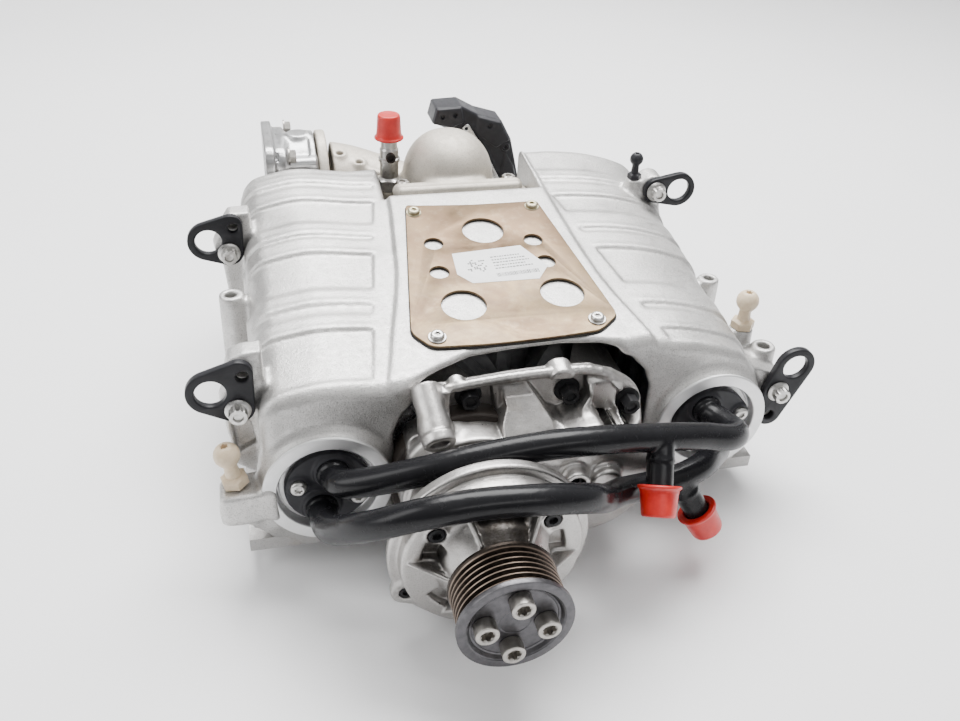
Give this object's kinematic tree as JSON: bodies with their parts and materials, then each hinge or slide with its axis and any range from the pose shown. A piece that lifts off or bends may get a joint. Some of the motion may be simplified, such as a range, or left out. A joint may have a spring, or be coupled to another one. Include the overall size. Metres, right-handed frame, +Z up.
{
  "type": "supercharger",
  "caption": "Roots-type supercharger module with twin charge coolers, meshing four-lobe rotors, geared snout drive with ribbed pulley, coolant pipes, throttle and bypass.",
  "frame": {"origin": "on the rest face, the flat underside of the rotor housing, midway between the two cylinder banks", "axes": "+Z up, the pulley faces -Y, +X to the right when seen from the pulley"},
  "size_m": [0.3945, 0.4351, 0.1962],
  "materials": {
    "cast": "sand-cast, fine grain",
    "machined": "machined",
    "steel": "zinc-plated",
    "black_steel": "black coated, satin",
    "black_plastic": "satin moulded",
    "red_plastic": "semi-gloss, slightly translucent",
    "beige_plastic": "satin moulded",
    "passivated": "yellow passivated, stained",
    "pulley_dark": "dark anodised",
    "rotor_coat": "coated, satin",
    "fin": "brazed fins"
  },
  "bodies": {
    "housing": {"ball_stud_left": "beige_plastic", "ball_stud_rear": "black_plastic", "ball_stud_right": "beige_plastic", "bearing_plate": "machined", "bypass_actuator": "black_plastic", "charge_cooler_left": "fin", "charge_cooler_right": "fin", "coolant_pipe_lower": "black_plastic", "coolant_pipe_upper": "black_plastic", "cooler_cap_left": "machined", "cooler_cap_right": "machined", "cover_bolt_1": "black_steel", "cover_bolt_2": "black_steel", "cover_bolt_3": "black_steel", "damper_plate": "passivated", "eye_bolt_1": "steel", "eye_bolt_2": "steel", "eye_bolt_3": "steel", "eye_bolt_4": "steel", "flange_screw_1": "steel", "flange_screw_2": "steel", "flange_screw_3": "steel", "flange_screw_4": "steel", "gear_cover": "cast", "inlet_elbow": "cast", "lifting_eye_front_left": "black_steel", "lifting_eye_front_right": "black_steel", "lifting_eye_rear_left": "black_steel", "lifting_eye_rear_right": "black_steel", "plate_screw_1": "steel", "plate_screw_2": "steel", "plate_screw_3": "steel", "plate_screw_4": "steel", "port_flange_left": "black_plastic", "port_flange_right": "black_plastic", "rear_fitting": "machined", "rotor_bearing_left": "steel", "rotor_bearing_right": "steel", "rotor_housing": "cast", "snout_bearing_front": "steel", "snout_bearing_rear": "steel", "snout_collar": "black_steel", "snout_housing": "cast", "throttle_body": "cast", "upper_cover": "cast"},
    "drive_train": {"pulley": "pulley_dark", "input_shaft": "steel", "drive_gear": "steel", "drive_rotor": "rotor_coat", "pulley_bolt_1": "steel", "pulley_bolt_2": "steel", "pulley_bolt_3": "steel", "pulley_bolt_4": "steel"},
    "driven_train": {"driven_gear": "steel", "driven_rotor": "rotor_coat"},
    "throttle": {"throttle_plate": "machined"},
    "bypass": {"bypass_flap": "machined"},
    "cap_1": {"transport_cap_1": "red_plastic"},
    "cap_2": {"transport_cap_2": "red_plastic"},
    "cap_3": {"transport_cap_3": "red_plastic"}
  },
  "joints": [
    {"name": "drive_spin", "type": "hinge", "parent": "housing", "child": "drive_train", "pos_m": [-0.0385, 0, 0.06], "axis": [0, 1, 0], "continuous": true},
    {"name": "driven_spin", "type": "hinge", "parent": "housing", "child": "driven_train", "pos_m": [0.0335, 0, 0.06], "axis": [0, 1, 0], "continuous": true},
    {"name": "throttle_hinge", "type": "hinge", "parent": "housing", "child": "throttle", "pos_m": [-0.11, 0.169, 0.134], "axis": [0, 0, 1], "range_deg": [0, 82], "stiffness_Nm_per_rad": 0.03},
    {"name": "bypass_hinge", "type": "hinge", "parent": "housing", "child": "bypass", "pos_m": [0.045, 0.114, 0.122], "axis": [0, 1, 0], "range_deg": [0, 80]},
    {"name": "cap_1_pull", "type": "slide", "parent": "housing", "child": "cap_1", "axis": [-0.1764, -0.6301, -0.7562], "range_m": [0, 0.02]},
    {"name": "cap_2_pull", "type": "slide", "parent": "housing", "child": "cap_2", "axis": [0.4929, -0.2341, -0.838], "range_m": [0, 0.02]},
    {"name": "cap_3_pull", "type": "slide", "parent": "housing", "child": "cap_3", "axis": [0, 0, 1], "range_m": [0, 0.03]}
  ],
  "couplings": [
    {"joint": "driven_spin", "follows": "drive_spin", "ratio": -1}
  ]
}
